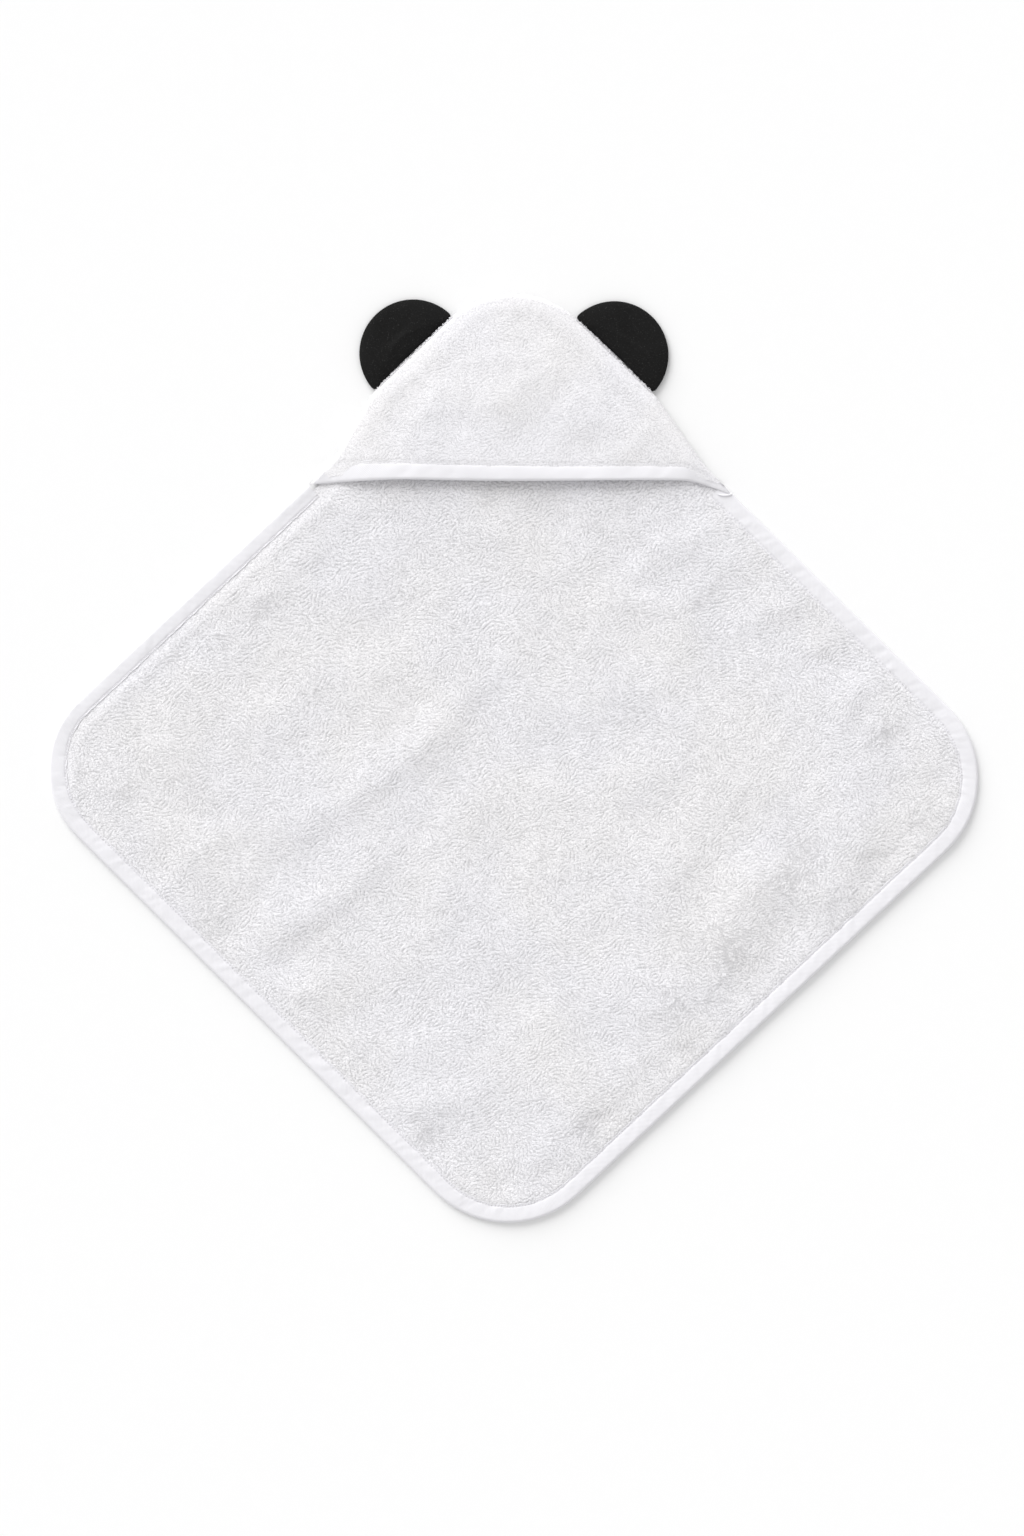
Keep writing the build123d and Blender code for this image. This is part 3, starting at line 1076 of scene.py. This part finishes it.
def lip_stitches(name, side):
    """The stitches of the hood's binding, on one side of its middle."""
    beats = np.arange(STITCH_PITCH / 2, (LIP_POINTS - 1) * STEP, STITCH_PITCH)
    which = (beats / STEP).round().astype(int)
    which = which[(LIP_LOW[which, 0] > -186) & (LIP_LOW[which, 0] < 196)]
    which = which[LIP_LOW[which, 0] * side > 0]
    flat = LIP_LOW[which] + (LIP_HIGH - LIP_LOW)[which] * STITCH_INSET / BINDING_WIDTH
    ahead = unit(np.gradient(LIP_HIGH, axis=0)[which])
    z = lip_height(flat) + 1.5
    return stitches(name, np.column_stack([flat, z]), ahead, WHITE_THREAD, 81 + side)


# Where the middle of the small curl at the right end of the hood's binding is.
LIP_CURL = (208.5, 262.6)


def lip_loop():
    """The end of the hood's binding, folded back on itself in a small curl at the right side."""
    bend = np.linspace(math.radians(205), math.radians(352), 15)
    line = np.column_stack([LIP_CURL[0] + 7.5 * np.cos(bend), LIP_CURL[1] + 2.6 * np.sin(bend)])
    side = left_of(unit(np.gradient(line, axis=0)))
    thick = 0.4 + 0.5 * np.sin(np.linspace(0.15, math.pi - 0.15, len(line)))
    turns = np.linspace(0, 2 * math.pi, 12, endpoint=False)
    flat = line[:, None, :] + side[:, None, :] * (np.cos(turns) * thick[:, None])[..., None]
    rings = np.dstack([flat, 6.2 - np.sin(turns) * thick[:, None]])
    loop = sweep("hood_lip_curl", rings, TWILL, rings.copy())
    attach(loop, "hood_back")
    return loop


def hood_turn(side):
    """Two places for the opening hood's bend: on its hinge line, and out along its side as far as its lip
    reaches.
    """
    # The direction of the hood's side from its hinge line down to its lip.
    seam = np.array([0.75, -0.66])
    seam /= np.hypot(*seam)
    reach = (hood_lip(0.0) - HOOD_HINGE) * seam[1]
    return at(0, HOOD_HINGE), at(-side * reach * seam[0], HOOD_HINGE + reach * seam[1])


def open_with(piece, side):
    """A piece of the hood's front has its place baked into its mesh; the hood's turn is worked out and not
    used.
    """
    hood_turn(side)
    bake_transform(piece)


def hood_piece(name, side):
    """Half of the hood's front cloth."""
    def where(x, y, inset):
        covered = 6 - 5 * smooth(LIP_LOW[0, 0] + 12, LIP_LOW[0, 0], x)
        above = (y > hood_lip(x) + covered) & (y > LIP_LOW[:, 1].min())
        return (inset > SEWN_INSET) & above & (x * side > 0)

    piece = cloth(name, where, hood_top, hood_under, 1, HOOD_CLOTH, HOOD_LOOPS, snap=True)
    open_with(piece, side)
    return piece


def make_hood(trims):
    """The towel's top corner and the hood that is sewn over it; the trims it is given are not used."""
    def behind(x, y, inset):
        return (inset > np.where(in_hood(y), SEWN_INSET, BOUND_INSET)) & (y > HOOD_FOLD)

    back = cloth("hood_back_cloth", behind, towel_top, towel_under_pile, 1, TERRY_CLOTH, LOOPS, snap=True)
    turn_with(back, "hood_back")
    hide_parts("hood_back_terry", "hood_seam_allowance", "hood_seam_thread")
    middle = int(np.argmin(abs(LIP_LOW[:, 0])))
    for side, label, part in ((-1, "left", slice(0, middle + 1)), (1, "right", slice(middle, None))):
        panel = hood_piece(f"hood_panel_{label}", side)
        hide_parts("hood_front_terry", "hood_rim_terry")
        binding = lip_binding(f"hood_lip_binding_{label}", part)
        thread = lip_stitches(f"hood_lip_stitches_{label}", side)
        for trim in (binding, thread):
            open_with(trim, side)
        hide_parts("hood_lip_binding", "hood_lip_binding_ends")
        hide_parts("hood_lip_stitch", "hood_lip_stitch_ends")
        ends = [lip_loop()] if side > 0 else []
        [binding, thread, ear_fringe(label, 90 + side)] + ends


# ---- the ears


def hull(points):
    """The convex outline of flat points, anticlockwise."""
    points = sorted(map(tuple, points.round(3)))

    def chain(row):
        kept = []
        for p in row:
            while len(kept) > 1:
                a, b = kept[-2], kept[-1]
                if (b[0] - a[0]) * (p[1] - a[1]) - (b[1] - a[1]) * (p[0] - a[0]) > 0:
                    break
                kept.pop()
            kept.append(p)
        return kept[:-1]

    return np.array(chain(points) + chain(points[::-1]))


def ear_outline(side, count):
    """Evenly spread points round an ear, anticlockwise."""
    node = frame["nodes"][f"{side}_ear_front_cover"]
    return evenly(hull(np.array([v.co for v in node.data.vertices])[:, :2] / MM), count)


def ear_rings(rim):
    """Rings of a flat bag round an outline, from its underside out to the seam and in over its top."""
    heart = rim.mean(axis=0)
    shares = np.array([1.0, 0.985, 0.955, 0.91, 0.85, 0.76, 0.66, 0.55, 0.43, 0.31, 0.19, 0.09])
    bulge = np.sqrt(1 - shares ** 2.6)
    layers = [(share, EAR_SEAM - (EAR_SEAM - EAR_LOW) * 0.9 * rise) for share, rise in zip(shares, bulge)]
    layers.reverse()
    for share, rise in list(zip(shares, bulge))[1:]:
        layers.append((share, EAR_SEAM + (EAR_HIGH - EAR_SEAM) * 0.8 * rise))
    rings = [np.column_stack([heart + (rim - heart) * share, np.full(len(rim), z)]) for share, z in layers]
    return np.stack(rings)


def make_ear(side):
    """One ear: a thin padded bag of black velour."""
    rings = ear_rings(ear_outline(side, 96))
    n, m, _ = rings.shape
    sides, caps = flipped(tubes(np.arange(n * m).reshape(n, m)))
    ear = build_mesh(f"{side}_ear", rings.reshape(-1, 3), [np.roll(sides, 1, axis=1), caps], VELOUR)
    inflate(ear, n, m)
    set_attribute(ear, "place", np.array([v.co for v in ear.data.vertices]) / MM)
    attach(ear, f"{side}_ear")
    nodes = [f"{side}_ear_{part}" for part in ("front_cover", "back_cover", "wadding", "seam_thread")]
    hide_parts(*nodes)


def ear_fringe(side, seed):
    """Loops of the hood's pile that stand out over the ear along its seam."""
    low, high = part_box(f"{side}_ear_front_cover")
    low, high = np.array(low[:2]) / MM - 1, np.array(high[:2]) / MM + 1
    which = np.nonzero(((EDGE > low) & (EDGE < high)).all(axis=1))[0]
    rng = np.random.default_rng(seed)
    which = rng.choice(which, 3 * len(which))
    turn = rng.normal(0, 0.6, len(which))
    outward = -EDGE_INWARD[which]
    ahead = outward * np.cos(turn)[:, None] + EDGE_AHEAD[which] * np.sin(turn)[:, None]
    out = rng.uniform(-1.7, 0.15, len(which))
    along = rng.uniform(-0.6, 0.6, len(which))
    flat = EDGE[which] + outward * out[:, None] + EDGE_AHEAD[which] * along[:, None]
    z = 8.2 - 0.5 * out + rng.normal(0, 0.2, len(which))
    fringe = stitches(f"{side}_ear_fringe", np.column_stack([flat, z]), ahead, HOOD_CLOTH, seed + 1)
    # A middle value, which gives the fringe part of the terry material's painted shade.
    set_attribute(fringe, "loops", np.full(len(fringe.data.vertices), 0.45))
    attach(fringe, "hood_back")
    return fringe


# How long the ears' cloth is blown up for, and how far it may move.
PUFF_STEPS = 12
MOST_PUFF = 1.2


def evened(move, layers, around):
    """The same moves with the small wrinkles round each ring smoothed away."""
    waves = np.fft.fft(move.reshape(layers, around, 3), axis=1)
    keep = np.exp(-((np.fft.fftfreq(around, 1 / around) / 4) ** 2))
    return np.fft.ifft(waves * keep[:, None], axis=1).real.reshape(-1, 3)


def inflate(ear, layers, around):
    """Puffs the bag out a little with cloth pressure, with each point's move cut to MOST_PUFF and its
    height held between set levels.
    """
    rest = np.array([v.co for v in ear.data.vertices])
    puff = ear.modifiers.new("puff", "CLOTH")
    puff.settings.use_pressure = True
    puff.settings.uniform_pressure_force = 2.0
    puff.settings.effector_weights.gravity = 0
    puff.settings.quality = 5
    scene = bpy.context.scene
    for step in range(1, PUFF_STEPS + 1):
        scene.frame_set(step)
    shown = ear.evaluated_get(bpy.context.evaluated_depsgraph_get())
    puffed = np.array([v.co for v in shown.data.vertices])
    ear.modifiers.remove(puff)
    scene.frame_set(1)
    move = evened(puffed - rest, layers, around)
    size = np.linalg.norm(move, axis=1)[:, None]
    moved = rest + move * np.minimum(1, MOST_PUFF * MM / np.maximum(size, 1e-9))
    moved[:, 2] = np.clip(moved[:, 2], EAR_LOW * MM * 0.4, (EAR_HIGH + 0.6) * MM)
    ear.data.vertices.foreach_set("co", moved.astype(np.float32).ravel())
    ear.data.update()


# ---- studio


def make_studio():
    """A pale floor under even light, with one large soft light."""
    far, level = 9000.0, -0.3
    corners = np.array([(-far, -far, level), (far, -far, level), (far, far, level), (-far, far, level)])
    floor = build_mesh("studio_floor", corners, [np.array([[0, 1, 2, 3]])], floor_material())
    add_room_light()
    add_key_light()
    bpy.context.scene.view_settings.view_transform = "Standard"
    bpy.context.scene.view_settings.look = "None"


def add_room_light():
    """Even light from all round, whiter in a band just above the horizon where the floor ends."""
    n = Nodes(bpy.data.worlds.new("studio"))
    towards = n.add("ShaderNodeTexCoord").outputs["Generated"]
    height = n.add("ShaderNodeSeparateXYZ", {0: towards}).outputs["Z"]
    n.feed(n.tree.nodes["Background"].inputs["Color"], n.ramp(height, 0.22, 0.36, 1.0, ROOM_LIGHT))
    bpy.context.scene.world = n.owner


def add_key_light():
    """A very large soft light, low above the towel's top and a little to its left."""
    lamp = bpy.data.lights.new("key", "SUN")
    lamp.angle = math.radians(KEY_WIDTH)
    lamp.energy = KEY_STRENGTH
    height = math.radians(KEY_HEIGHT)
    towards = Vector((*LIGHT_FROM * math.cos(height), math.sin(height)))
    show("key", lamp).rotation_euler = towards.to_track_quat("Z", "Y").to_euler()


def make_camera():
    """Straight above, as far away as makes the picture's long side 1.52 m at the floor."""
    lens = bpy.data.cameras.new("camera")
    lens.lens = 100
    lens.sensor_width = 36
    camera = show("camera", lens)
    camera.location = CAMERA
    bpy.context.scene.camera = camera


make_hood(make_towel())
for ear_side in ("left", "right"):
    make_ear(ear_side)
make_studio()
make_camera()
